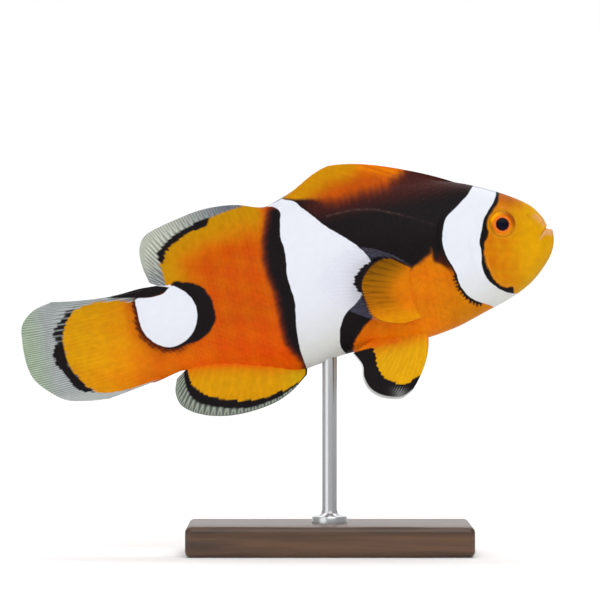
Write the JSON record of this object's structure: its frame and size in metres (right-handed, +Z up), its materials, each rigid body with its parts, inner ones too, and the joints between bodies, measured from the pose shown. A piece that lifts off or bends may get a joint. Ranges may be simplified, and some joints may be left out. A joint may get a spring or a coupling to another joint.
{
  "type": "clownfish model",
  "caption": "Life-size clownfish in orange, black and white, swimming nose-up with fins spread, held over a flat wooden base by one steel rod.",
  "frame": {"origin": "centre of the flat underside of the stand's base, where the model rests", "axes": "+X towards the fish's snout, +Y towards the fish's left side, +Z up"},
  "size_m": [0.0788, 0.028, 0.0574],
  "materials": {
    "skin_orange": "satin",
    "skin_white": "satin",
    "skin_black": "satin",
    "fin_orange": "satin",
    "fin_yellow": "satin",
    "eye": "gloss",
    "walnut": "satin",
    "steel": "satin"
  },
  "bodies": {
    "root": {"head": "skin_orange", "lower_jaw": "skin_orange", "gill_cover_right": "skin_white", "gill_cover_left": "skin_white", "trunk_front": "skin_black", "trunk_rear": "skin_orange", "tail_stalk": "skin_white", "dorsal_fin_front": "fin_orange", "dorsal_fin_rear": "fin_yellow", "anal_fin": "fin_yellow", "caudal_fin": "fin_yellow", "pectoral_fin_right": "fin_orange", "pectoral_fin_left": "fin_orange", "pelvic_fin_right": "fin_yellow", "pelvic_fin_left": "fin_yellow", "eye_right": "eye", "eye_left": "eye", "stand_base": "walnut", "stand_rod": "steel"}
  },
  "joints": []
}
